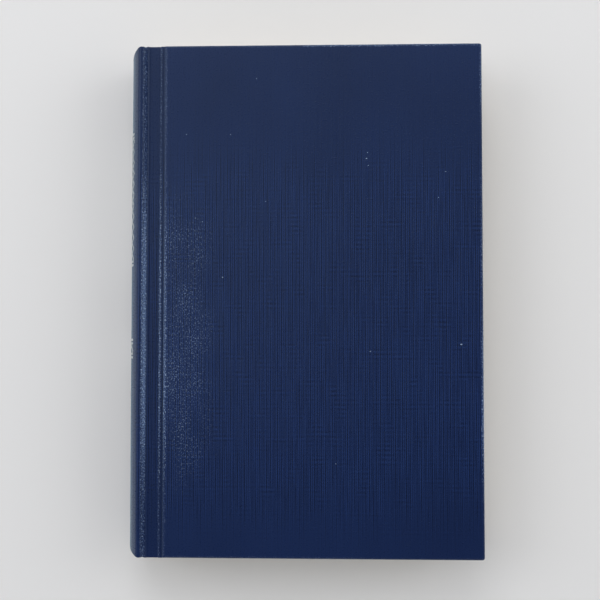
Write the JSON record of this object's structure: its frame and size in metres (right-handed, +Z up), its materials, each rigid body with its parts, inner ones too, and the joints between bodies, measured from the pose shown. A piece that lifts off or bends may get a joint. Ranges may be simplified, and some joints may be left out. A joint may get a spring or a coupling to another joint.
{
  "type": "hardback book",
  "caption": "Cloth-covered hardback book with a rounded spine, ridged shoulders, deep hinge grooves, square-edged covers that open flat, headbands and a solid block of leaves.",
  "frame": {"origin": "under the middle of the closed book, on the face of the rear cover that it lies on", "axes": "+Z up through the front cover, +Y towards the head of the leaves, +X towards the fore edge, spine at -X"},
  "size_m": [0.1334, 0.192, 0.0254],
  "materials": {
    "book_cloth": "satin",
    "book_paper": "matte",
    "endpaper": "matte",
    "greyboard": "matte",
    "inlay_card": "matte",
    "kraft_paper": "matte",
    "mull": "matte",
    "headband": "satin"
  },
  "bodies": {
    "book_block": {"text_block": "book_paper", "mull": "mull", "spine_lining": "kraft_paper", "head_band": "headband", "tail_band": "headband", "spine_inlay": "inlay_card", "spine_cloth": "book_cloth", "front_flyleaf": "endpaper", "rear_flyleaf": "endpaper"},
    "front_joint": {"front_joint_cloth": "book_cloth", "front_joint_mull": "mull", "front_joint_endpaper": "endpaper"},
    "front_cover": {"front_board": "greyboard", "front_cover_cloth": "book_cloth", "front_mull_wing": "mull", "front_pastedown": "endpaper"},
    "rear_joint": {"rear_joint_cloth": "book_cloth", "rear_joint_mull": "mull", "rear_joint_endpaper": "endpaper"},
    "rear_cover": {"rear_board": "greyboard", "rear_cover_cloth": "book_cloth", "rear_mull_wing": "mull", "rear_pastedown": "endpaper"}
  },
  "joints": [
    {"name": "front_shoulder_fold", "type": "hinge", "parent": "book_block", "child": "front_joint", "pos_m": [-0.05951, 0, 0.0224], "axis": [0, -1, 0], "range_deg": [0, 90]},
    {"name": "front_board_fold", "type": "hinge", "parent": "front_joint", "child": "front_cover", "pos_m": [-0.05331, 0, 0.0224], "axis": [0, -1, 0], "range_deg": [0, 90]},
    {"name": "rear_shoulder_fold", "type": "hinge", "parent": "book_block", "child": "rear_joint", "pos_m": [-0.05951, 0, 0.003], "axis": [0, 1, 0], "range_deg": [0, 90]},
    {"name": "rear_board_fold", "type": "hinge", "parent": "rear_joint", "child": "rear_cover", "pos_m": [-0.05331, 0, 0.003], "axis": [0, 1, 0], "range_deg": [0, 90]}
  ],
  "couplings": [
    {"joint": "front_board_fold", "follows": "front_shoulder_fold", "ratio": 1},
    {"joint": "rear_board_fold", "follows": "rear_shoulder_fold", "ratio": 1}
  ]
}
